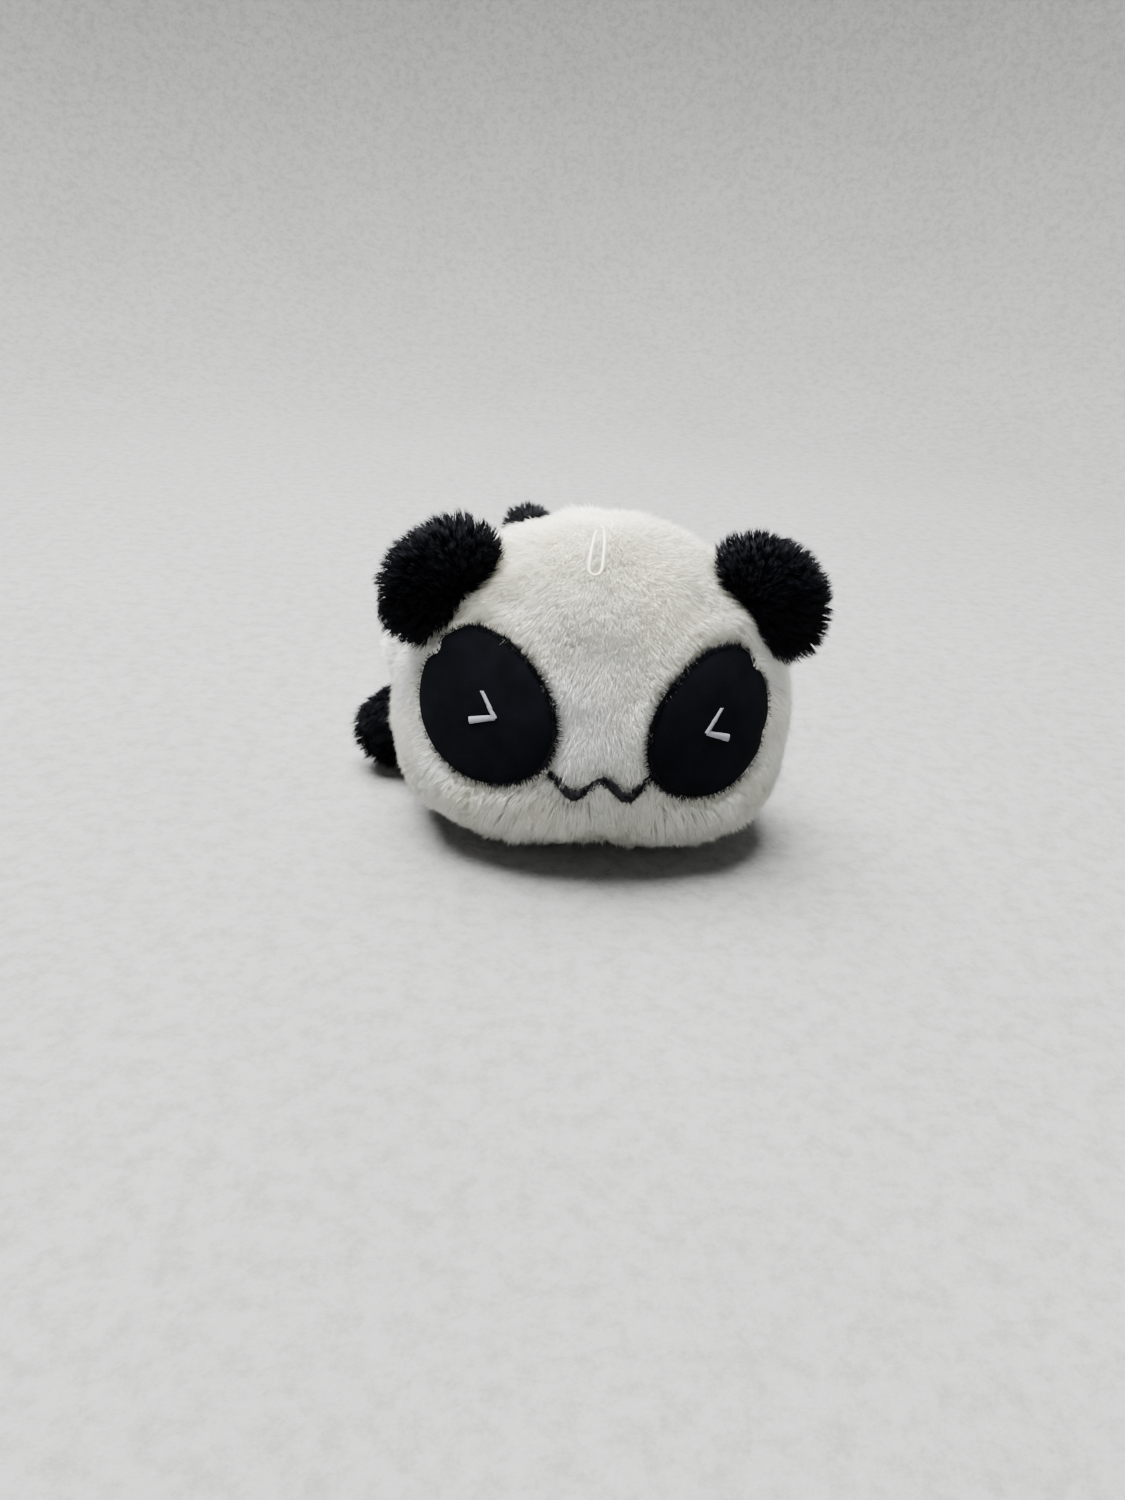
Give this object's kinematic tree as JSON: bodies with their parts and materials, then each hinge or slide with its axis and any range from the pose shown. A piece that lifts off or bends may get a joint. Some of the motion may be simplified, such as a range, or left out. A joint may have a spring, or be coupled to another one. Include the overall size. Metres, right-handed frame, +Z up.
{
  "type": "plush key charm",
  "caption": "Stuffed panda charm lying on its belly, big head with winking cloth eye patches, round ears, stubby limbs, a tail and a short hanging loop.",
  "frame": {"origin": "centre of the footprint, on the table under the charm, measured without the hanging loop", "axes": "+Z up from the belly to the crown, the face looks along -Y, the charm's pieces called left are at -X as a viewer facing it sees them, and the body lies behind the head towards +Y"},
  "size_m": [0.1174, 0.1545, 0.0815],
  "materials": {
    "white_plush": "short dense white pile, brushed in soft clumps",
    "black_plush": "long black pile, spiky at its outline",
    "patch_cloth": "smooth near-black cloth with a short fuzzy edge",
    "white_satin_thread": "white satin stitch with a thread sheen",
    "dark_thread": "dark embroidery thread, partly sunk in the pile",
    "white_thread": "white sewing thread",
    "fibre_filling": "loose polyester fibre, hidden inside",
    "soft_cord": "thin translucent cream cord"
  },
  "bodies": {
    "torso": {"torso_back_panel_left": "white_plush", "torso_back_panel_right": "white_plush", "belly_panel": "white_plush", "torso_filling": "fibre_filling", "neck_stitching": "white_thread"},
    "head": {"head_face_panel": "white_plush", "head_back_panel_left": "white_plush", "head_back_panel_right": "white_plush", "head_filling": "fibre_filling", "eye_patch_left": "patch_cloth", "eye_patch_right": "patch_cloth", "wink_stitching_left": "white_satin_thread", "wink_stitching_right": "white_satin_thread", "mouth_stitching": "dark_thread", "loop_knot": "soft_cord"},
    "ear_left": {"ear_front_panel_left": "black_plush", "ear_back_panel_left": "black_plush"},
    "ear_right": {"ear_front_panel_right": "black_plush", "ear_back_panel_right": "black_plush"},
    "loop": {"hanging_loop": "soft_cord"},
    "arm_left": {"arm_left_cover": "black_plush", "arm_left_filling": "fibre_filling"},
    "arm_right": {"arm_right_cover": "black_plush", "arm_right_filling": "fibre_filling"},
    "leg_left": {"leg_left_cover": "black_plush", "leg_left_filling": "fibre_filling"},
    "leg_right": {"leg_right_cover": "black_plush", "leg_right_filling": "fibre_filling"},
    "tail": {"tail_cover": "black_plush", "tail_filling": "fibre_filling"}
  },
  "joints": [
    {"name": "head_nod", "type": "hinge", "parent": "torso", "child": "head", "pos_m": [0, -0.00665, 0.03], "axis": [-1, 0, 0], "range_deg": [0, 12], "stiffness_Nm_per_rad": 0.07},
    {"name": "ear_left_fold", "type": "hinge", "parent": "head", "child": "ear_left", "pos_m": [-0.0336, -0.0499, 0.0644], "axis": [-0.6225, 0, -0.7826], "range_deg": [-20, 20], "stiffness_Nm_per_rad": 0.006},
    {"name": "ear_right_fold", "type": "hinge", "parent": "head", "child": "ear_right", "pos_m": [0.0336, -0.0499, 0.0644], "axis": [0.6225, 0, -0.7826], "range_deg": [-20, 20], "stiffness_Nm_per_rad": 0.006},
    {"name": "loop_swing", "type": "hinge", "parent": "head", "child": "loop", "pos_m": [-0.0028, -0.0498, 0.0793], "axis": [-1, 0, 0], "range_deg": [0, 150]},
    {"name": "arm_left_swing", "type": "hinge", "parent": "torso", "child": "arm_left", "pos_m": [-0.04878, -0.00112, 0.01104], "axis": [0, 0, -1], "range_deg": [0, 35], "stiffness_Nm_per_rad": 0.003},
    {"name": "arm_right_swing", "type": "hinge", "parent": "torso", "child": "arm_right", "pos_m": [0.04548, 0.01222, 0.01116], "axis": [0, 0, 1], "range_deg": [0, 35], "stiffness_Nm_per_rad": 0.003},
    {"name": "leg_left_lift", "type": "hinge", "parent": "torso", "child": "leg_left", "pos_m": [-0.043, 0.0576, 0.01128], "axis": [0.9889, -0.1489, 0], "range_deg": [0, 30], "stiffness_Nm_per_rad": 0.006},
    {"name": "leg_right_lift", "type": "hinge", "parent": "torso", "child": "leg_right", "pos_m": [0.03478, 0.06119, 0.01038], "axis": [0.2694, -0.963, 0], "range_deg": [0, 30], "stiffness_Nm_per_rad": 0.01},
    {"name": "tail_wag", "type": "hinge", "parent": "torso", "child": "tail", "pos_m": [-0.01319, 0.05433, 0.0499], "axis": [0, 0, 1], "range_deg": [-20, 20], "stiffness_Nm_per_rad": 0.002}
  ]
}
